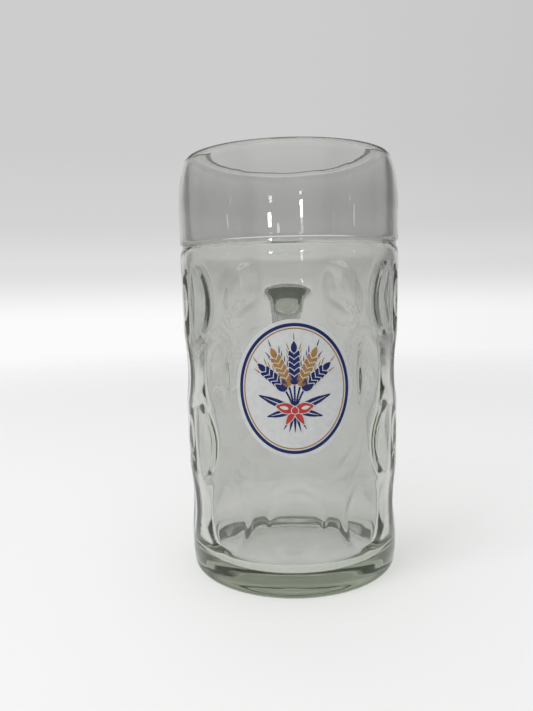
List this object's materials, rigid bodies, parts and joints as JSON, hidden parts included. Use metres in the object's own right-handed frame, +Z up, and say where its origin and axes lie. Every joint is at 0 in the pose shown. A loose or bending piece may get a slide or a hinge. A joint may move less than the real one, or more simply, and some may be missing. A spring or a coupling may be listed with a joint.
{
  "type": "glass beer stein",
  "caption": "Tall pressed-glass beer mug with staggered rows of dimples, a smooth drinking band, a loop handle at the back and an oval printed label on the front.",
  "frame": {"origin": "centre of the stein's bounding box at the height of the surface it stands on; the mug's own axis is 25.1 mm nearer the front", "axes": "+Z up along the mug's axis, -Y the side with the label, +Y the side with the handle, +X to the right seen from the front"},
  "size_m": [0.1076, 0.1582, 0.202],
  "materials": {
    "glass": "clear, fire-polished, faint grey-green",
    "label_white": "opaque fired enamel, satin",
    "label_blue": "opaque fired enamel, satin",
    "label_gold": "opaque fired enamel, satin"
  },
  "bodies": {
    "root": {"mug_body": "glass", "handle": "glass", "label_ground": "label_white", "label_border": "label_blue", "label_line": "label_gold"}
  },
  "joints": []
}
